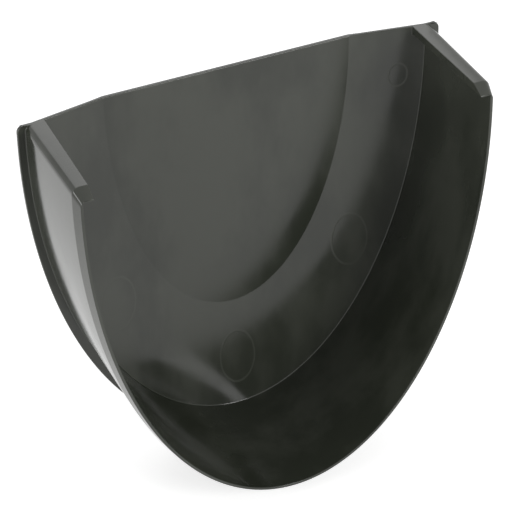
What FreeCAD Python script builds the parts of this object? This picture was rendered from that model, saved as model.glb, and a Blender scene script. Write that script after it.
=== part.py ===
import FreeCAD, Part
import Sketcher
import math
import os

# Gutter end cap, moulded in one piece.
# X runs across the gutter, Y along it and Z up. The origin is the middle of the top edge, on the face of the
# plate that the gutter butts against. The collar reaches towards -Y and the plate is dished towards +Y.
# Every U below is two short upright flanks and the lower half of an upright ellipse.

sizes = {
    "collarWidth": 125.0,  # over the collar's walls, at the plate
    "collarDepth": 119.8,  # from the top edges to the bottom of the collar, at the plate
    "flankHeight": 4.8,  # upright stretch of each side, below the top edge
    "collarLength": 38.1,  # plate face to mouth, along the top edges
    "mouthLean": 1.9,  # how much further the bottom of the mouth reaches than its top
    "bottomFlare": 1.4,  # the bottom stands out this much more at the mouth than at the plate
    "rootWall": 2.1,  # collar wall at the plate
    "mouthWall": 0.85,  # flat front edge of the mouth
    "leadInLength": 4.1,  # bevel round the outside of the mouth
    "leadInDepth": 0.87,
    "plateWall": 1.1,  # plate and rim
    "rimSide": 2.4,  # how far the rim stands out past the collar
    "rimBottom": 4.7,
    "rimCornerRadius": 2.0,
    "dishDepth": 3.95,  # how far the flat middle of the plate is set back
    "panelWidth": 76.0,  # flat middle of the plate, on the inside
    "panelDepth": 81.8,
    "panelFlank": 0.5,
    "lipRootWidth": 5.9,  # turned-in top edge, with the collar wall
    "lipMouthWidth": 4.75,
    "lipWall": 2.5,
    "lipDrop": 2.1,  # the front of each top edge slopes down this much over the lead-in
    "topEdgeRadius": 2.0,
    "lipEdgeRadius": 0.3,
    "overrun": 2.0,  # how far a cutting form runs past what it cuts
}

doc = FreeCAD.newDocument("GutterEndCap")
sheet = doc.addObject("Spreadsheet::Sheet", "Sizes")
for row, (alias, value) in enumerate(sizes.items(), start=1):
    sheet.set(f"A{row}", alias)
    sheet.set(f"B{row}", str(value))
    sheet.setAlias(f"B{row}", alias)
doc.recompute()

body = doc.addObject("PartDesign::Body", "EndCap")
body.Label = "end_cap"
body.Placement = FreeCAD.Placement()

# Formulas over the sheet

halfCollar = "Sizes.collarWidth / 2"
leadInStart = "(Sizes.collarLength - Sizes.leadInLength)"
leadInShare = f"({leadInStart} / Sizes.collarLength)"
leanPerDepth = "(Sizes.mouthLean / Sizes.collarDepth)"
pastMouth = "(Sizes.collarLength + Sizes.overrun)"
pastMouthShare = f"({pastMouth} / Sizes.collarLength)"
pastCollar = f"({pastMouth} + Sizes.overrun)"
pastCollarShare = f"({pastCollar} / Sizes.collarLength)"
pastBevel = "(Sizes.leadInDepth * (Sizes.leadInLength + Sizes.overrun) / Sizes.leadInLength)"
creaseHalf = f"({halfCollar} - Sizes.rootWall)"
creaseDepth = "(Sizes.collarDepth - Sizes.rootWall)"
wallLoss = "(Sizes.rootWall - Sizes.leadInDepth - Sizes.mouthWall)"


def measure(formula):
    return float(body.evalExpression(formula))


# Sketches

startPoint, endPoint, centrePoint = 1, 2, 3
origin = (-1, 1)
verticalAxis = -2


def newSketch(name, role):
    sketch = body.newObject("Sketcher::SketchObject", name)
    plane = next(item for item in body.Origin.OriginFeatures if item.Role == role)
    sketch.AttachmentSupport = [(plane, "")]
    sketch.MapMode = "FlatFace"
    return sketch


def bind(sketch, name, kind, places, formula):
    """Adds one dimension to a sketch and ties it to the sheet."""
    index = sketch.addConstraint(Sketcher.Constraint(kind, *places, measure(formula)))
    sketch.renameConstraint(index, name)
    sketch.setExpression(f"Constraints.{name}", formula)


def addUSection(name, towardsMouth, halfWidth, depth, flank, leaning=False):
    """Draws a closed U across the gutter. Its sides run on upwards past the top edge, to be trimmed.

    towardsMouth is how far it stands from the plate face. A leaning section is turned about
    its top edge, so that its bottom reaches further out.
    """
    sketch = newSketch(name, "XZ_Plane")
    if leaning:
        lean = math.degrees(math.atan(measure(leanPerDepth)))
        tilt = FreeCAD.Rotation(FreeCAD.Vector(1, 0, 0), -lean)
        sketch.AttachmentOffset = FreeCAD.Placement(FreeCAD.Vector(), tilt)
        sketch.setExpression(".AttachmentOffset.Rotation.Angle", f"-atan({leanPerDepth})")
    sketch.setExpression(".AttachmentOffset.Base.z", towardsMouth)
    side, bottom, straight = (measure(formula) for formula in (halfWidth, depth, flank))
    above = measure("Sizes.overrun")
    topLeft = FreeCAD.Vector(-side, above, 0)
    topRight = FreeCAD.Vector(side, above, 0)
    flankLeft = FreeCAD.Vector(-side, -straight, 0)
    flankRight = FreeCAD.Vector(side, -straight, 0)
    ellipse = Part.Ellipse(FreeCAD.Vector(0, -bottom, 0), flankRight, FreeCAD.Vector(0, -straight, 0))
    across, right, arc, left = sketch.addGeometry(
        [
            Part.LineSegment(topLeft, topRight),
            Part.LineSegment(topRight, flankRight),
            Part.ArcOfEllipse(ellipse, -math.pi / 2, math.pi / 2),
            Part.LineSegment(flankLeft, topLeft),
        ]
    )
    longAxis = sketch.GeometryCount
    sketch.exposeInternalGeometry(arc)
    sketch.addConstraint(
        [
            Sketcher.Constraint("Coincident", across, endPoint, right, startPoint),
            Sketcher.Constraint("Coincident", right, endPoint, arc, endPoint),
            Sketcher.Constraint("Coincident", arc, startPoint, left, startPoint),
            Sketcher.Constraint("Coincident", left, endPoint, across, startPoint),
            Sketcher.Constraint("Symmetric", across, startPoint, across, endPoint, verticalAxis),
            Sketcher.Constraint("Vertical", right),
            Sketcher.Constraint("PointOnObject", arc, centrePoint, verticalAxis),
            Sketcher.Constraint("Horizontal", arc, centrePoint, arc, startPoint),
            Sketcher.Constraint("Horizontal", arc, centrePoint, arc, endPoint),
            Sketcher.Constraint("Vertical", longAxis),
        ]
    )
    bind(sketch, "width", "DistanceX", (across, startPoint, across, endPoint), f"2 * {halfWidth}")
    bind(sketch, "above", "DistanceY", (*origin, across, startPoint), "Sizes.overrun")
    bind(sketch, "flank", "DistanceY", (arc, centrePoint, *origin), flank)
    bind(sketch, "depth", "DistanceY", (longAxis, startPoint, *origin), depth)
    return sketch


def addPolygon(sketch, prefix, corners):
    """Draws a closed polygon whose corners are pairs of formulas, each tied to the sheet."""
    points = [FreeCAD.Vector(measure(across), measure(along), 0) for across, along in corners]
    lines = sketch.addGeometry([Part.LineSegment(a, b) for a, b in zip(points, points[1:] + points[:1])])
    for line, following in zip(lines, lines[1:] + lines[:1]):
        sketch.addConstraint(Sketcher.Constraint("Coincident", line, endPoint, following, startPoint))
    for number, (line, (across, along)) in enumerate(zip(lines, corners), start=1):
        bind(sketch, f"{prefix}Across{number}", "DistanceX", (*origin, line, startPoint), across)
        bind(sketch, f"{prefix}Along{number}", "DistanceY", (*origin, line, startPoint), along)


def addLoft(kind, name, sketches):
    loft = body.newObject(f"PartDesign::{kind}", name)
    loft.Profile = sketches[0]
    loft.Sections = sketches[1:]
    loft.Ruled = True
    loft.Refine = False  # faces that lie in one plane are joined after the trim
    return loft


# Plate rim, a flat U that stands out all round

rimSketch = addUSection(
    "RimSketch",
    "0",
    f"({halfCollar} + Sizes.rimSide)",
    "Sizes.collarDepth + Sizes.rimBottom",
    "Sizes.flankHeight",
)
rim = body.newObject("PartDesign::Pad", "Rim")
rim.Profile = rimSketch
rim.Reversed = True
rim.setExpression("Length", "Sizes.plateWall")

# Outside of the dish: a shallow cone from the collar's line to the flat middle

dishFoot = addUSection("DishFoot", "-Sizes.plateWall", creaseHalf, creaseDepth, "Sizes.flankHeight")
dishCrown = addUSection(
    "DishCrown",
    "-(Sizes.dishDepth + Sizes.plateWall)",
    "Sizes.panelWidth / 2",
    "Sizes.panelDepth",
    "Sizes.panelFlank",
)
addLoft("AdditiveLoft", "Dish", [dishFoot, dishCrown])

# Outside of the collar: upright sides and a flared bottom to the start of the lead-in, then a bevel that
# runs past the leaning mouth

collarRoot = addUSection("CollarRoot", "0", halfCollar, "Sizes.collarDepth", "Sizes.flankHeight")
collarShoulder = addUSection(
    "CollarShoulder",
    leadInStart,
    halfCollar,
    f"Sizes.collarDepth + Sizes.bottomFlare * {leadInShare}",
    "Sizes.flankHeight",
    leaning=True,
)
collarEnd = addUSection(
    "CollarEnd",
    pastMouth,
    f"({halfCollar} - {pastBevel})",
    f"Sizes.collarDepth + Sizes.bottomFlare * {pastMouthShare} - {pastBevel}",
    "Sizes.flankHeight",
    leaning=True,
)
addLoft("AdditiveLoft", "Collar", [collarRoot, collarShoulder, collarEnd])

# The hollow: from past the mouth to the crease at the plate, and on to the flat middle of the dish

hollowEnd = addUSection(
    "HollowEnd",
    pastCollar,
    f"({creaseHalf} + {wallLoss} * {pastCollarShare})",
    f"{creaseDepth} + (Sizes.bottomFlare + {wallLoss}) * {pastCollarShare}",
    "Sizes.flankHeight",
    leaning=True,
)
hollowCrease = addUSection("HollowCrease", "0", creaseHalf, creaseDepth, "Sizes.flankHeight")
hollowPanel = addUSection(
    "HollowPanel", "-Sizes.dishDepth", "Sizes.panelWidth / 2", "Sizes.panelDepth", "Sizes.panelFlank"
)
addLoft("SubtractiveLoft", "Hollow", [hollowEnd, hollowCrease, hollowPanel])

# Lips: the top edges turn inwards as a strip along each side, rooted in the plate and the walls

lipEnd = "(Sizes.collarLength + Sizes.overrun / 2)"
lipEndShare = f"({lipEnd} / Sizes.collarLength)"
lipRootEdge = f"({halfCollar} - Sizes.lipRootWidth)"
lipEndEdge = f"({lipRootEdge} + (Sizes.lipRootWidth - Sizes.lipMouthWidth) * {lipEndShare})"
bandSlope = f"(Sizes.dishDepth / ({creaseHalf} - Sizes.panelWidth / 2))"
lipRootInBand = f"({bandSlope} * (Sizes.lipRootWidth - Sizes.rootWall) + Sizes.plateWall / 2)"
lipBite = "Sizes.mouthWall / 3"  # how far the lips reach into the walls
biteRoot = f"({creaseHalf} + {lipBite})"
biteEnd = f"({creaseHalf} + {wallLoss} * {lipEndShare} + {lipBite})"
lipSketch = newSketch("LipSketch", "XY_Plane")
for prefix, sign in (("left", "-"), ("right", "")):
    lipCorners = [
        (f"{sign}{biteRoot}", "Sizes.plateWall / 2"),
        (f"{sign}{lipRootEdge}", lipRootInBand),
        (f"{sign}{lipEndEdge}", f"-{lipEnd}"),
        (f"{sign}{biteEnd}", f"-{lipEnd}"),
    ]
    addPolygon(lipSketch, prefix, lipCorners)
lips = body.newObject("PartDesign::Pad", "Lips")
lips.Profile = lipSketch
lips.Reversed = True
lips.SideType = "Two sides"
lips.setExpression("Length", "Sizes.lipWall")
lips.setExpression("Length2", "Sizes.overrun / 2")

# One trim makes the flat top, the slope at the front of each side and the leaning mouth

below = "(Sizes.collarDepth + Sizes.rimBottom + Sizes.overrun)"
pastAll = f"({pastMouth} + Sizes.mouthLean + 2 * Sizes.overrun)"
pastDish = "(Sizes.dishDepth + Sizes.plateWall + Sizes.overrun)"
trimSketch = newSketch("TrimSketch", "YZ_Plane")
trimCorners = [
    (f"-{leadInStart}", "0"),
    (f"-(Sizes.collarLength + {leanPerDepth} * Sizes.lipDrop)", "-Sizes.lipDrop"),
    (f"-(Sizes.collarLength + {leanPerDepth} * {below})", f"-{below}"),
    (f"-{pastAll}", f"-{below}"),
    (f"-{pastAll}", "2 * Sizes.overrun"),
    (pastDish, "2 * Sizes.overrun"),
    (pastDish, "0"),
]
addPolygon(trimSketch, "trim", trimCorners)
doc.recompute()
leastTrimmed = 1.0  # mm3
untrimmedVolume = lips.Shape.Volume
trim = body.newObject("PartDesign::Pocket", "Trim")
trim.Profile = trimSketch
trim.SideType = "Symmetric"
trim.setExpression("Length", f"2 * ({halfCollar} + Sizes.rimSide + Sizes.overrun)")
doc.recompute()
if trim.Shape.Volume > untrimmedVolume - leastTrimmed:
    raise RuntimeError("the trim took nothing off")

# Rounded edges

mostly = 0.8  # a face points a way when that part of its direction is over this


def outward(face, point):
    """The outward direction of a face beside a point on one of its edges."""
    return face.normalAt(*face.Surface.parameter(point))


def facesUp(directions):
    return any(direction.z > mostly for direction in directions)


def facesAside(directions, side):
    return any(direction.x * side > mostly for direction in directions)


def addFillet(name, radius, onPlate, outwards):
    """Rounds the edges between an upward face and a side face, on the plate or on the collar.

    The side face is the one away from the middle of the cap if outwards is true, or else the one towards it.
    """
    shape = body.Shape
    names = []
    for number, edge in enumerate(shape.Edges, start=1):
        middle = edge.valueAt((edge.FirstParameter + edge.LastParameter) / 2)
        directions = [outward(face, middle) for face in shape.ancestorsOfType(edge, Part.Face)]
        side = math.copysign(1, middle.x if outwards else -middle.x)
        if (middle.y > 0) == onPlate and facesUp(directions) and facesAside(directions, side):
            names.append(f"Edge{number}")
    rounded = body.Tip
    fillet = body.newObject("PartDesign::Fillet", name)
    fillet.Base = (rounded, names)
    fillet.setExpression("Radius", radius)
    doc.recompute()


# The long rounding ends on the upright stretch of the side, also where the top has sloped down
uprightLeft = "(Sizes.flankHeight - Sizes.lipDrop - Sizes.lipEdgeRadius)"

addFillet("RimCorners", "Sizes.rimCornerRadius", onPlate=True, outwards=True)
addFillet("TopEdges", f"min(Sizes.topEdgeRadius; {uprightLeft})", onPlate=False, outwards=True)
addFillet("LipEdges", "Sizes.lipEdgeRadius", onPlate=False, outwards=False)

# Every feature has to be sound before anything is written

for item in doc.Objects:
    if "Invalid" in item.State or "Error" in item.State:
        raise RuntimeError(f"{item.Name} did not compute")
parts = [body]
for part in parts:
    if part.Shape.isNull() or not part.Shape.isValid() or len(part.Shape.Solids) != 1:
        raise RuntimeError(f"{part.Label} is not one sound solid")

os.makedirs("parts", exist_ok=True)
for part in parts:
    part.Shape.exportStep(f"parts/{part.Label}.step")
    print(part.Label, round(part.Shape.Volume), "mm3")
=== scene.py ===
import math

import bmesh
import bpy
from mathutils import Matrix, Vector


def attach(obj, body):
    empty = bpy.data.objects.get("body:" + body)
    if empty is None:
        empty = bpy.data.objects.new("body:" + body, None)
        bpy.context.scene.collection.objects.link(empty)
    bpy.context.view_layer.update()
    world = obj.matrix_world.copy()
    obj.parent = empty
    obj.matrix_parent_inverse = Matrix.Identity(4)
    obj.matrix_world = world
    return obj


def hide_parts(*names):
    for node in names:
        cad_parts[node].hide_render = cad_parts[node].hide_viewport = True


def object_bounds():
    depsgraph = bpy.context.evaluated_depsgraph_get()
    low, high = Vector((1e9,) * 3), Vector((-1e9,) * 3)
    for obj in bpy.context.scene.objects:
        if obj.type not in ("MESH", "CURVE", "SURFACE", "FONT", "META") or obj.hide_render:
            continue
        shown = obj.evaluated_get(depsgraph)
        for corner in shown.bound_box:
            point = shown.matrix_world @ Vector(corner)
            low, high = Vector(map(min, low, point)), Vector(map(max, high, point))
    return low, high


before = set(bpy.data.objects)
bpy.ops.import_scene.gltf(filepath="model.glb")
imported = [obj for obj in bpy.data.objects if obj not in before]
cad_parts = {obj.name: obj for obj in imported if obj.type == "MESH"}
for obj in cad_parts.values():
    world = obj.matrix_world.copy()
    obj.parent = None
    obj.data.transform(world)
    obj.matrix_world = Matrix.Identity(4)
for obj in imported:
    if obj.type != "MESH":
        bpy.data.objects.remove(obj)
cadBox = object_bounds()  # the CAD model's own box, before anything is added

scene = bpy.context.scene
scene.view_settings.view_transform = "Standard"

# Directions, in metres: x across the cap, y from the mouth (minus) to the back of the plate (plus),
# z up. The origin is the middle of the top edge, on the side of the plate that meets the gutter.


def addNode(tree, kind, x, y, label="", **values):
    node = tree.nodes.new(kind)
    node.location = (x, y)
    if label:
        node.label = label
    for name, value in values.items():
        setattr(node, name, value)
    return node


def link(tree, source, target):
    tree.links.new(source, target)


def calc(tree, operation, x, y, first, second=None, label=""):
    # a math node; each side is a number or another node's output
    node = addNode(tree, "ShaderNodeMath", x, y, label, operation=operation)
    for socket, value in zip(node.inputs, (first, second)):
        if isinstance(value, (int, float)):
            socket.default_value = value
        elif value is not None:
            link(tree, value, socket)
    return node.outputs[0]


# Camera, at the photograph's viewing angle
print("camera")

photoCamera = {
    "azimuth": -24.2833,      # degrees round the cap, to the left of straight on
    "elevation": 35.6471,     # degrees above the level
    "roll": -0.8685,
    "distance": 0.727,        # metres along the view line to the cap's origin
    "across": -0.005776,      # where the origin is in the camera's own axes
    "upwards": 0.050975,
    "lens": 183.24,
    "sensor": 36.0,
    "clipStart": 0.01,
}


def makeCamera(settings):
    azimuth = math.radians(settings["azimuth"])
    elevation = math.radians(settings["elevation"])
    roll = math.radians(settings["roll"])
    level = Vector((math.cos(azimuth), math.sin(azimuth), 0.0))
    back = Vector((
        math.sin(azimuth) * math.cos(elevation),
        -math.cos(azimuth) * math.cos(elevation),
        math.sin(elevation),
    ))
    upright = back.cross(level)
    right = math.cos(roll) * level + math.sin(roll) * upright
    up = -math.sin(roll) * level + math.cos(roll) * upright
    place = back * settings["distance"] - right * settings["across"] - up * settings["upwards"]

    data = bpy.data.cameras.new("photoCamera")
    data.lens = settings["lens"]
    data.sensor_width = settings["sensor"]
    data.sensor_fit = "HORIZONTAL"
    data.clip_start = settings["clipStart"]
    camera = bpy.data.objects.new("photoCamera", data)
    turn = Matrix((right, up, back)).transposed().to_4x4()
    camera.matrix_world = Matrix.Translation(place) @ turn
    scene.collection.objects.link(camera)
    scene.camera = camera


makeCamera(photoCamera)

# Stage: a white floor that keeps the shadow, and plain soft lamps
print("stage")

stageLook = {
    "floorDrop": 0.0002,      # gap under the lowest point of the cap
    "floorSize": 6.0,         # from the middle to each side
    "floorColor": (0.8, 0.8, 0.8, 1.0),
    "floorLift": 0.62,        # white added to the floor where the camera or a reflection sees it
    "worldColor": (1.0, 1.0, 1.0, 1.0),
    "worldLight": 0.42,       # what the surroundings give the cap
    "worldShown": 1.0,        # what the camera and reflections see
}


def seenDirectly(tree, x, y):
    # 1 for a ray from the camera, a reflection or a see-through surface
    path = addNode(tree, "ShaderNodeLightPath", x, y).outputs
    either = calc(tree, "MAXIMUM", x + 200, y, path["Is Camera Ray"], path["Is Glossy Ray"])
    return calc(tree, "MAXIMUM", x + 400, y, either, path["Is Transmission Ray"])


def makeFloor(look):
    size = look["floorSize"]
    height = cadBox[0].z - look["floorDrop"]
    sides = ((-size, -size), (size, -size), (size, size), (-size, size))
    corners = [(x, y, height) for x, y in sides]
    mesh = bpy.data.meshes.new("floor")
    mesh.from_pydata(corners, [], [(0, 1, 2, 3)])
    floor = bpy.data.objects.new("floor", mesh)
    scene.collection.objects.link(floor)

    material = bpy.data.materials.new("floorWhite")
    material.use_nodes = True
    tree = material.node_tree
    tree.nodes.clear()
    paint = addNode(tree, "ShaderNodeBsdfDiffuse", 300, 100)
    paint.inputs["Color"].default_value = look["floorColor"]
    glow = addNode(tree, "ShaderNodeEmission", 300, -100)
    seen = seenDirectly(tree, -600, -150)
    lift = calc(tree, "MULTIPLY", 100, -150, seen, look["floorLift"], "lift")
    link(tree, lift, glow.inputs["Strength"])
    both = addNode(tree, "ShaderNodeAddShader", 600, 0)
    link(tree, paint.outputs[0], both.inputs[0])
    link(tree, glow.outputs[0], both.inputs[1])
    output = addNode(tree, "ShaderNodeOutputMaterial", 900, 0)
    link(tree, both.outputs[0], output.inputs["Surface"])
    mesh.materials.append(material)


def makeWorld(look):
    world = bpy.data.worlds.new("studio")
    scene.world = world
    world.use_nodes = True
    tree = world.node_tree
    tree.nodes.clear()
    level = addNode(tree, "ShaderNodeMapRange", 200, 0, "light or shown")
    level.inputs["To Min"].default_value = look["worldLight"]
    level.inputs["To Max"].default_value = look["worldShown"]
    link(tree, seenDirectly(tree, -500, 0), level.inputs["Value"])
    background = addNode(tree, "ShaderNodeBackground", 400, 0)
    background.inputs["Color"].default_value = look["worldColor"]
    link(tree, level.outputs["Result"], background.inputs["Strength"])
    output = addNode(tree, "ShaderNodeOutputWorld", 600, 0)
    link(tree, background.outputs[0], output.inputs["Surface"])


# each lamp: where it hangs, what it points at, its sides in metres and its power in watts
studioLamps = {
    "frontBox": {
        "place": (0.10, -0.85, 0.02),
        "aim": (0.0, 0.0, -0.06),
        "sides": (0.8, 0.8),
        "power": 0.3,
    },
    "rightBox": {             # the band shows it by way of the bottom of the collar
        "place": (0.42, -0.87, 0.40),
        "aim": (0.0, 0.0, -0.06),
        "sides": (0.32, 0.32),
        "power": 4.2,
    },
    "leftBox": {              # lights the collar's outer side
        "place": (-0.95, -0.12, 0.20),
        "aim": (0.0, 0.0, -0.06),
        "sides": (0.5, 0.5),
        "power": 3.4,
    },
    "backBox": {              # the tops of the lips show it
        "place": (0.12, 0.62, 0.42),
        "aim": (0.0, 0.0, 0.0),
        "sides": (0.6, 0.5),
        "power": 1.0,
    },
}


def makeLamp(name, settings):
    data = bpy.data.lights.new(name, "AREA")
    data.shape = "RECTANGLE"
    data.size, data.size_y = settings["sides"]
    data.energy = settings["power"]
    lamp = bpy.data.objects.new(name, data)
    lamp.location = settings["place"]
    direction = Vector(settings["aim"]) - Vector(settings["place"])
    lamp.rotation_euler = direction.to_track_quat("-Z", "Y").to_euler()
    scene.collection.objects.link(lamp)


makeFloor(stageLook)
makeWorld(stageLook)
for lampName, lampSettings in studioLamps.items():
    makeLamp(lampName, lampSettings)

# Cap: one closed skin of quads on U-shaped rows, with every sharp edge slightly rounded
print("cap mesh")

capShape = {                  # millimetres, as in the CAD model
    "halfWidth": 62.5,        # collar, over the walls, at the plate
    "depth": 119.8,
    "flank": 4.8,             # upright part of each side
    "length": 38.1,           # plate to mouth
    "mouthLean": 1.9,         # the bottom of the mouth reaches further out
    "bottomFlare": 1.4,
    "rootWall": 2.1,
    "mouthWall": 0.85,
    "leadInLength": 4.1,
    "leadInDepth": 0.87,
    "plateWall": 1.1,
    "rimSide": 2.4,
    "rimBottom": 4.7,
    "rimCornerRadius": 2.0,
    "dishDepth": 3.95,
    "panelHalf": 38.0,        # the flat middle
    "panelDepth": 81.8,
    "panelFlank": 0.5,
    "panelTopShare": 0.6,     # of its flank, keeps the row under the lip level with it
    "panelMargin": 2.5,       # even border of quads round the flat middle
    "lipRootWidth": 5.9,
    "lipMouthWidth": 4.75,
    "lipWall": 2.5,
    "lipDrop": 2.1,
    "lipInDish": 0.7,         # how far behind the plate's face the end of a lip meets the dish
    "topRadius": 2.0,         # long outer edge of each lip
    "topRadiusAtMouth": 1.7,  # smaller than in the CAD model, as the front of the lip is thin
    "arcSteps": 128,
    "roundSteps": 6,
    "flankSteps": 3,
    "wallSteps": 7,           # plate to bevel
    "bevelSteps": 2,
    "bandSteps": 6,
    "panelSteps": 28,
    "edgeRound": 0.28,        # width of the small rounding on sharp edges
    "edgeSegments": 3,
    "thinEdgeShare": 0.45,    # part of that width which the thin front of the mouth gets
    "sharpFrom": 20.0,        # degrees between faces
    "creaseFrom": 3.0,        # the same, for the creases of the dish and the bevel
}

millimetre = 0.001
keyDigits = 4                 # corners that agree to so many decimals of a millimetre are one


def mix(a, b, share):
    return a + (b - a) * share


class Skin:
    # a mesh put together from strips of quads that share their corners

    def __init__(self):
        self.mesh = bmesh.new()
        self.known = {}

    def corner(self, point):
        key = tuple(round(value, keyDigits) for value in point)
        if key not in self.known:
            self.known[key] = self.mesh.verts.new(Vector(point) * millimetre)
        return self.known[key]

    def face(self, *corners):
        loop = [corner for i, corner in enumerate(corners) if corner is not corners[i - 1]]
        if len(set(loop)) > 2 and self.mesh.faces.get(loop) is None:
            self.mesh.faces.new(loop)

    def strip(self, first, second):
        for i in range(len(first) - 1):
            self.face(first[i], first[i + 1], second[i + 1], second[i])

    def strips(self, rings):
        for first, second in zip(rings, rings[1:]):
            self.strip(first, second)


def capRows(shape):
    # down the left side, round the bottom and up the right side
    # each row is its side, its kind, its share of that kind, and its number from the nearer top
    left = [(-1, "round", k / shape["roundSteps"]) for k in range(shape["roundSteps"] + 1)]
    left += [(-1, "flank", k / shape["flankSteps"]) for k in range(1, shape["flankSteps"] + 1)]
    arc = [(1, "arc", k / shape["arcSteps"]) for k in range(1, shape["arcSteps"])]
    rows = left + arc + [(1, kind, share) for side, kind, share in reversed(left)]
    last = len(rows) - 1
    return [row + (min(i, last - i),) for i, row in enumerate(rows)]


def collarStations(shape):
    # distance from the plate, and how far down the bevel that is
    bevelStart = shape["length"] - shape["leadInLength"]
    distances = [bevelStart * k / shape["wallSteps"] for k in range(shape["wallSteps"])]
    for k in range(shape["bevelSteps"] + 1):
        distances.append(mix(bevelStart, shape["length"], k / shape["bevelSteps"]))
    return [(d, max(0.0, d - bevelStart) / shape["leadInLength"]) for d in distances]


def arcPoint(share, half, depth, flank):
    # x and depth below the top, on the half ellipse at the bottom of a U
    angle = math.pi * share
    return -half * math.cos(angle), flank + (depth - flank) * math.sin(angle)


def roundedPoint(row, half, depth, flank, radius, top=0.0):
    # a U whose top corners are rounded
    side, kind, share = row[:3]
    if kind == "arc":
        return arcPoint(share, half, depth, flank)
    if kind == "round":
        turn = math.pi / 2 * (1 - share)
        return side * (half - radius * (1 - math.cos(turn))), top + radius * (1 - math.sin(turn))
    return side * half, mix(top + radius, flank, share)


def plainPoint(row, half, depth, flank, shape):
    # a U with square top corners
    side, kind, share, number = row
    if kind == "arc":
        return arcPoint(share, half, depth, flank)
    return side * half, flank * number / (shape["roundSteps"] + shape["flankSteps"])


def hollowPoint(row, half, depth, lipX, top, shape):
    # the inside: edge and underside of the lip, wall, arc
    side, kind, share, number = row
    flank, lipWall = shape["flank"], shape["lipWall"]
    if kind == "arc":
        return arcPoint(share, half, depth, flank)
    if number == 0:
        return side * lipX, top
    if number == 1:
        return side * lipX, lipWall
    lastNumber = shape["roundSteps"] + shape["flankSteps"]
    return side * half, mix(lipWall, flank, (number - 2) / (lastNumber - 2))


def lipEdge(shape, y):
    slope = (shape["lipRootWidth"] - shape["lipMouthWidth"]) / shape["length"]
    return shape["halfWidth"] - shape["lipRootWidth"] - slope * y


def onLip(row):
    return row[1] != "arc" and row[3] < 2


def leaned(shape, x, q, distance, share):
    # a point of a section off the plate, turned about its top edge by a share of the lean
    lean = math.atan(shape["mouthLean"] / shape["depth"])
    return x, -(distance + share * q * math.sin(lean)), -q * mix(1.0, math.cos(lean), share)


def collarOutside(skin, rows, shape):
    bevelStart = shape["length"] - shape["leadInLength"]
    rings = []
    for distance, bevel in collarStations(shape):
        inset = shape["leadInDepth"] * bevel
        radius = mix(shape["topRadius"], shape["topRadiusAtMouth"], bevel)
        half = shape["halfWidth"] - inset
        bottom = shape["depth"] + shape["bottomFlare"] * distance / shape["length"] - inset
        top = shape["lipDrop"] * bevel
        share = min(1.0, distance / bevelStart)
        ring = []
        for row in rows:
            x, q = roundedPoint(row, half, bottom, shape["flank"], radius, top)
            ring.append(skin.corner(leaned(shape, x, q, distance, share)))
        rings.append(ring)
    return rings


def creaseSize(shape):
    # half width and depth of the hollow where it meets the plate
    return shape["halfWidth"] - shape["rootWall"], shape["depth"] - shape["rootWall"]


def lipEnd(shape):
    # where the end of a lip meets the sloping band of the dish
    creaseHalf = creaseSize(shape)[0]
    bandWidth = creaseHalf - shape["panelHalf"]
    endX = lipEdge(shape, shape["lipInDish"])
    endShare = (creaseHalf - endX) / bandWidth
    return endX, shape["dishDepth"] * endShare, endShare


def collarInside(skin, rows, shape):
    wallLoss = shape["rootWall"] - shape["leadInDepth"] - shape["mouthWall"]
    creaseHalf, creaseDepth = creaseSize(shape)
    endX, endY = lipEnd(shape)[:2]
    rings = []
    for distance, bevel in collarStations(shape):
        along = distance / shape["length"]
        half = creaseHalf + wallLoss * along
        bottom = creaseDepth + (shape["bottomFlare"] + wallLoss) * along
        top = shape["lipDrop"] * bevel
        ring = []
        for row in rows:
            x, q = hollowPoint(row, half, bottom, lipEdge(shape, -distance), top, shape)
            if distance == 0 and onLip(row):
                ring.append(skin.corner((row[0] * endX, endY, -q)))
            else:
                ring.append(skin.corner(leaned(shape, x, q, distance, along)))
        rings.append(ring)
    return rings


def panelPoint(row, creaseQ, shape):
    # the edge of the flat middle, on the same row as a point of the crease
    side, kind, share = row[:3]
    half, panelFlank = shape["panelHalf"], shape["panelFlank"]
    if kind == "arc":
        return arcPoint(share, half, shape["panelDepth"], panelFlank)
    lipWall = shape["lipWall"]
    underLip = shape["panelTopShare"] * panelFlank
    if creaseQ <= lipWall:
        return side * half, underLip * creaseQ / lipWall
    return side * half, mix(underLip, panelFlank, (creaseQ - lipWall) / (shape["flank"] - lipWall))


def dishInside(skin, rows, shape):
    # from the crease, over the ends of the lips, to the flat middle
    creaseHalf, creaseDepth = creaseSize(shape)
    endShare = lipEnd(shape)[2]
    steps = shape["bandSteps"]
    shares = [0.0] + [mix(endShare, 1.0, k / (steps - 1)) for k in range(steps)]
    rings = []
    for share in shares:
        ring = []
        for row in rows:
            creaseX, creaseQ = hollowPoint(row, creaseHalf, creaseDepth, creaseHalf, 0.0, shape)
            panelX, panelQ = panelPoint(row, creaseQ, shape)
            reach = max(share, endShare) if onLip(row) else share
            drop = reach if row[1] == "arc" else max(0.0, reach - endShare) / (1 - endShare)
            x, q = mix(creaseX, panelX, reach), mix(creaseQ, panelQ, drop)
            ring.append(skin.corner((x, shape["dishDepth"] * reach, -q)))
        rings.append(ring)
    return rings


def rimRing(skin, rows, shape, y):
    half, bottom = shape["halfWidth"] + shape["rimSide"], shape["depth"] + shape["rimBottom"]
    radius = shape["rimCornerRadius"]
    points = [roundedPoint(row, half, bottom, shape["flank"], radius) for row in rows]
    return [skin.corner((x, y, -q)) for x, q in points]


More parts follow.
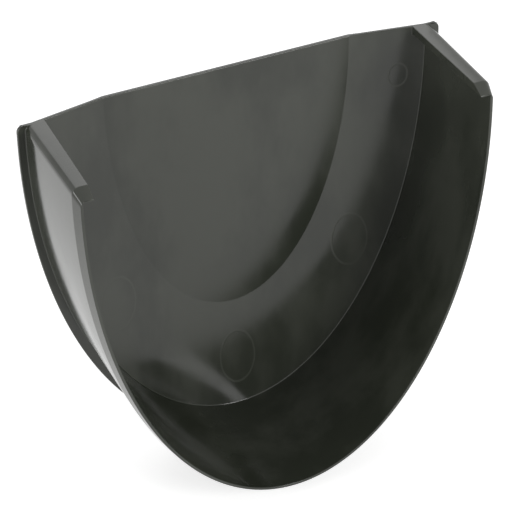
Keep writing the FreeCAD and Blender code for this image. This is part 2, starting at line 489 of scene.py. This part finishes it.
def dishOutside(skin, rows, shape):
    creaseHalf, creaseDepth = creaseSize(shape)
    half, depth = shape["panelHalf"], shape["panelDepth"]
    rings = []
    for k in range(shape["bandSteps"]):
        share = k / (shape["bandSteps"] - 1)
        y = shape["plateWall"] + shape["dishDepth"] * share
        ring = []
        for row in rows:
            foot = plainPoint(row, creaseHalf, creaseDepth, shape["flank"], shape)
            crown = plainPoint(row, half, depth, shape["panelFlank"], shape)
            x, q = mix(foot[0], crown[0], share), mix(foot[1], crown[1], share)
            ring.append(skin.corner((x, y, -q)))
        rings.append(ring)
    return rings


def flatMiddle(skin, rows, edge, shape):
    # an even margin first, then straight rows; gives back the corners along its top
    margin = shape["panelMargin"]
    half, depth = shape["panelHalf"] - margin, shape["panelDepth"] - margin
    ring = []
    for row, outer in zip(rows, edge):
        x, q = row[0] * half, -outer.co.z / millimetre
        if row[1] == "arc":
            x, q = arcPoint(row[2], half, depth, shape["panelFlank"])
        ring.append(skin.corner((x, outer.co.y / millimetre, -q)))
    skin.strip(edge, ring)

    lastRow = len(rows) - 1
    grid = []
    for i in range(lastRow // 2 + 1):
        left, right = ring[i], ring[lastRow - i]
        shares = [j / shape["panelSteps"] for j in range(1, shape["panelSteps"])]
        between = [skin.corner(left.co.lerp(right.co, share) / millimetre) for share in shares]
        grid.append([left] + between + [right])
    skin.strips(grid)
    return [edge[0]] + grid[0] + [edge[-1]]


def weighEdges(mesh, creases, mouth, shape):
    # which edges get rounded, and how much
    weight = mesh.edges.layers.float.new("bevel_weight_edge")
    for edge in mesh.edges:
        ends = set(edge.verts)
        angle = math.degrees(edge.calc_face_angle(0.0))
        onCrease = any(ends <= crease for crease in creases) and angle > shape["creaseFrom"]
        if angle > shape["sharpFrom"] or onCrease:
            edge[weight] = shape["thinEdgeShare"] if ends & mouth else 1.0


def buildCapMesh(shape):
    skin = Skin()
    rows = capRows(shape)
    outer = collarOutside(skin, rows, shape)
    inner = collarInside(skin, rows, shape)
    band = dishInside(skin, rows, shape)
    rimFront = rimRing(skin, rows, shape, 0.0)
    rimBack = rimRing(skin, rows, shape, shape["plateWall"])
    cone = dishOutside(skin, rows, shape)
    for rings in (outer, inner, band, cone):
        skin.strips(rings)
    skin.strip(outer[-1], inner[-1])
    skin.strips([outer[0], rimFront, rimBack, cone[0]])

    # the top: edges of the flat middle, then lips, rim and dish at both ends of the rows
    insideTop = flatMiddle(skin, rows, band[-1], shape)
    outsideTop = flatMiddle(skin, rows, cone[-1], shape)
    skin.strip(insideTop, outsideTop)
    for end in (0, -1):
        skin.strip([ring[end] for ring in outer], [ring[end] for ring in inner])
        skin.face(outer[0][end], rimFront[end], rimBack[end], cone[0][end])
        skin.face(outer[0][end], cone[0][end], inner[0][end])
        skin.strip([ring[end] for ring in band[1:]], [ring[end] for ring in cone])

    mesh = skin.mesh
    bmesh.ops.recalc_face_normals(mesh, faces=mesh.faces)
    openEdges = sum(len(edge.link_faces) != 2 for edge in mesh.edges)
    volume = mesh.calc_volume() / millimetre ** 3
    print("  faces", len(mesh.faces), "open edges", openEdges, "volume mm3", round(volume))
    creases = [set(band[-1]), set(cone[-1]), set(outer[shape["wallSteps"]])]
    weighEdges(mesh, creases, set(outer[-1]) | set(inner[-1]), shape)
    for item in mesh.faces:
        item.smooth = True
    data = bpy.data.meshes.new("endCap")
    mesh.to_mesh(data)
    mesh.free()
    return data


def makeCap(shape):
    cap = bpy.data.objects.new("endCap", buildCapMesh(shape))
    scene.collection.objects.link(cap)
    smallEdges = cap.modifiers.new("small edges", "BEVEL")
    smallEdges.limit_method = "WEIGHT"
    smallEdges.width = shape["edgeRound"] * millimetre
    smallEdges.segments = shape["edgeSegments"]
    smallEdges.use_clamp_overlap = False
    smallEdges.harden_normals = True
    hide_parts("end_cap")
    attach(cap, "root")
    return cap


cap = makeCap(capShape)

# Plastic: dark olive grey, glossy from the mould, with faint clouds that are partly painted
# reflection, a fine grain and pin marks
print("plastic")

mouldedPlastic = {            # sizes and depths in metres
    "color": (0.024, 0.0275, 0.0195, 1.0),
    "flowAndSheenColor": (0.046, 0.050, 0.039, 1.0),    # paler clouds: partly the flow of the melt, partly painted reflection patches
    "lineColor": (0.045, 0.049, 0.038, 1.0),    # rings of the pin marks
    "ior": 1.5,
    "roughness": 0.10,
    "cloudRoughness": 0.20,
    "lineRoughness": 0.22,
    "cloudSize": 0.022,
    "cloudStretch": (1.0, 1.0, 0.45),           # the flow ran up and down
    "cloudDetail": 4.0,
    "cloudFineness": 0.55,
    "cloudEdges": (0.36, 0.64),                 # noise from which it is pale, and fully pale
    "grainSize": 0.0006,
    "grainDetail": 2.0,
    "grainDepth": 0.000004,
    "lineDepth": 0.000008,
}

pinMarks = {                  # ovals on the sloping band round the flat middle, in metres
    "large": {
        "places": ((0.0, -0.1015), (0.0375, -0.0695), (-0.0375, -0.0695)),
        "halfSize": (0.0056, 0.0089),
    },
    "small": {
        "places": ((0.0525, -0.0155), (-0.0525, -0.0155)),
        "halfSize": (0.0029, 0.0038),
    },
    "line": 0.00016,
    "soft": 0.00018,
    "facing": -0.9,           # only where the surface faces the mouth at least this squarely
    "behind": 0.0001,         # and only behind the face of the rim
}


def newGroup(name, inputs, outputs):
    tree = bpy.data.node_groups.new(name, "ShaderNodeTree")
    for label, kind in inputs:
        tree.interface.new_socket(name=label, in_out="INPUT", socket_type=kind)
    for label, kind in outputs:
        tree.interface.new_socket(name=label, in_out="OUTPUT", socket_type=kind)
    start = addNode(tree, "NodeGroupInput", -1200, 0)
    end = addNode(tree, "NodeGroupOutput", 900, 0)
    return tree, start.outputs, end.inputs


def vectorCalc(tree, operation, x, y, first, second=None):
    node = addNode(tree, "ShaderNodeVectorMath", x, y, operation=operation)
    link(tree, first, node.inputs[0])
    if isinstance(second, tuple):
        node.inputs[1].default_value = second
    elif second is not None:
        link(tree, second, node.inputs[1])
    return node.outputs["Value" if operation == "LENGTH" else "Vector"]


def makeCloudGroup(look):
    # soft clouds, 0 to 1: partly the flow of the melt, partly painted reflection patches
    tree, start, end = newGroup(
        "flowAndSheenClouds",
        (
            ("Position", "NodeSocketVector"),
            ("Stretch", "NodeSocketVector"),
            ("Size", "NodeSocketFloat"),
        ),
        (("Mask", "NodeSocketFloat"),),
    )
    stretched = vectorCalc(tree, "MULTIPLY", -800, 100, start["Position"], start["Stretch"])
    clouds = addNode(tree, "ShaderNodeTexNoise", -400, 0, "clouds")
    clouds.inputs["Detail"].default_value = look["cloudDetail"]
    clouds.inputs["Roughness"].default_value = look["cloudFineness"]
    link(tree, stretched, clouds.inputs["Vector"])
    link(tree, calc(tree, "DIVIDE", -800, -200, 1.0, start["Size"]), clouds.inputs["Scale"])
    contrast = addNode(tree, "ShaderNodeMapRange", 350, 0, interpolation_type="SMOOTHSTEP")
    contrast.inputs["From Min"].default_value = look["cloudEdges"][0]
    contrast.inputs["From Max"].default_value = look["cloudEdges"][1]
    link(tree, clouds.outputs["Fac"], contrast.inputs["Value"])
    link(tree, contrast.outputs["Result"], end["Mask"])
    return tree


def makePinMarkGroup():
    # a thin oval line round a centre, seen along y, 0 to 1
    tree, start, end = newGroup(
        "pinMark",
        (
            ("Position", "NodeSocketVector"),
            ("Centre", "NodeSocketVector"),
            ("Half Size", "NodeSocketVector"),
            ("Line", "NodeSocketFloat"),
            ("Soft", "NodeSocketFloat"),
        ),
        (("Mask", "NodeSocketFloat"),),
    )
    offset = vectorCalc(tree, "SUBTRACT", -900, 200, start["Position"], start["Centre"])
    flat = vectorCalc(tree, "MULTIPLY", -700, 200, offset, (1.0, 0.0, 1.0))
    unit = vectorCalc(tree, "DIVIDE", -500, 200, flat, start["Half Size"])
    distance = vectorCalc(tree, "LENGTH", -300, 200, unit)
    size = addNode(tree, "ShaderNodeSeparateXYZ", -500, -100)
    link(tree, start["Half Size"], size.inputs[0])
    fromLine = calc(tree, "ABSOLUTE", 0, 200, calc(tree, "SUBTRACT", -150, 200, distance, 1.0))
    edge = addNode(tree, "ShaderNodeMapRange", 350, 100, interpolation_type="SMOOTHSTEP")
    edge.inputs["To Min"].default_value = 1.0
    edge.inputs["To Max"].default_value = 0.0
    link(tree, calc(tree, "MULTIPLY", 150, 200, fromLine, size.outputs["X"]), edge.inputs["Value"])
    link(tree, start["Line"], edge.inputs["From Min"])
    link(tree, calc(tree, "ADD", 150, 0, start["Line"], start["Soft"]), edge.inputs["From Max"])
    link(tree, edge.outputs["Result"], end["Mask"])
    return tree


def pinLines(tree, place, marks):
    # all the pin marks together, on the inner side of the dish only
    ringGroup = makePinMarkGroup()
    places = [(kind, spot) for kind in ("large", "small") for spot in marks[kind]["places"]]
    rings = None
    for number, (kind, (across, height)) in enumerate(places):
        y = -100 - 180 * number
        ring = addNode(tree, "ShaderNodeGroup", -700, y, "pin mark", node_tree=ringGroup)
        link(tree, place, ring.inputs["Position"])
        halfWidth, halfHeight = marks[kind]["halfSize"]
        ring.inputs["Centre"].default_value = (across, 0.0, height)
        ring.inputs["Half Size"].default_value = (halfWidth, 1.0, halfHeight)
        ring.inputs["Line"].default_value = marks["line"]
        ring.inputs["Soft"].default_value = marks["soft"]
        mask = ring.outputs["Mask"]
        rings = mask if rings is None else calc(tree, "MAXIMUM", -450, y, rings, mask)
    surface = addNode(tree, "ShaderNodeNewGeometry", -1200, -1100)
    normal = addNode(tree, "ShaderNodeSeparateXYZ", -700, -1100)
    link(tree, surface.outputs["Normal"], normal.inputs[0])
    towardsMouth = calc(tree, "LESS_THAN", -450, -1100, normal.outputs["Y"], marks["facing"])
    spot = addNode(tree, "ShaderNodeSeparateXYZ", -700, -1250)
    link(tree, place, spot.inputs[0])
    behindRim = calc(tree, "GREATER_THAN", -450, -1250, spot.outputs["Y"], marks["behind"])
    inDish = calc(tree, "MULTIPLY", -250, -1150, towardsMouth, behindRim)
    return calc(tree, "MULTIPLY", -50, -400, rings, inDish, "pin lines")


def makePlastic(look, marks):
    material = bpy.data.materials.new("mouldedPlastic")
    material.use_nodes = True
    tree = material.node_tree
    tree.nodes.clear()
    surface = addNode(tree, "ShaderNodeBsdfPrincipled", 1200, 0)
    surface.inputs["IOR"].default_value = look["ior"]
    output = addNode(tree, "ShaderNodeOutputMaterial", 1500, 0)
    link(tree, surface.outputs[0], output.inputs["Surface"])
    place = addNode(tree, "ShaderNodeTexCoord", -1200, 0).outputs["Object"]

    cloudGroup = makeCloudGroup(look)
    clouds = addNode(tree, "ShaderNodeGroup", -700, 200, "flow and sheen clouds", node_tree=cloudGroup)
    link(tree, place, clouds.inputs["Position"])
    clouds.inputs["Stretch"].default_value = look["cloudStretch"]
    clouds.inputs["Size"].default_value = look["cloudSize"]
    lines = pinLines(tree, place, marks)

    # paler colour in the clouds: partly the flow of the melt, partly painted reflection
    cloudy = addNode(tree, "ShaderNodeMix", 200, 300, "cloud colour", data_type="RGBA")
    cloudy.inputs["A"].default_value = look["color"]
    cloudy.inputs["B"].default_value = look["flowAndSheenColor"]
    link(tree, clouds.outputs["Mask"], cloudy.inputs["Factor"])
    lined = addNode(tree, "ShaderNodeMix", 500, 300, "line colour", data_type="RGBA")
    lined.inputs["B"].default_value = look["lineColor"]
    link(tree, cloudy.outputs["Result"], lined.inputs["A"])
    link(tree, lines, lined.inputs["Factor"])
    link(tree, lined.outputs["Result"], surface.inputs["Base Color"])

    cloudGloss = addNode(tree, "ShaderNodeMapRange", 200, 0, "cloud roughness")
    cloudGloss.inputs["To Min"].default_value = look["roughness"]
    cloudGloss.inputs["To Max"].default_value = look["cloudRoughness"]
    link(tree, clouds.outputs["Mask"], cloudGloss.inputs["Value"])
    gloss = addNode(tree, "ShaderNodeMix", 500, 0, "line roughness", data_type="FLOAT")
    gloss.inputs["B"].default_value = look["lineRoughness"]
    link(tree, cloudGloss.outputs["Result"], gloss.inputs["A"])
    link(tree, lines, gloss.inputs["Factor"])
    link(tree, gloss.outputs["Result"], surface.inputs["Roughness"])

    grain = addNode(tree, "ShaderNodeTexNoise", 200, -300, "grain")
    grain.inputs["Scale"].default_value = 1 / look["grainSize"]
    grain.inputs["Detail"].default_value = look["grainDetail"]
    link(tree, place, grain.inputs["Vector"])
    fine = calc(tree, "MULTIPLY", 450, -300, grain.outputs["Fac"], look["grainDepth"])
    raised = calc(tree, "MULTIPLY", 450, -450, lines, look["lineDepth"])
    bump = addNode(tree, "ShaderNodeBump", 850, -350)
    bump.inputs["Distance"].default_value = 1.0
    link(tree, calc(tree, "ADD", 650, -380, fine, raised), bump.inputs["Height"])
    link(tree, bump.outputs[0], surface.inputs["Normal"])
    return material


cap.data.materials.append(makePlastic(mouldedPlastic, pinMarks))
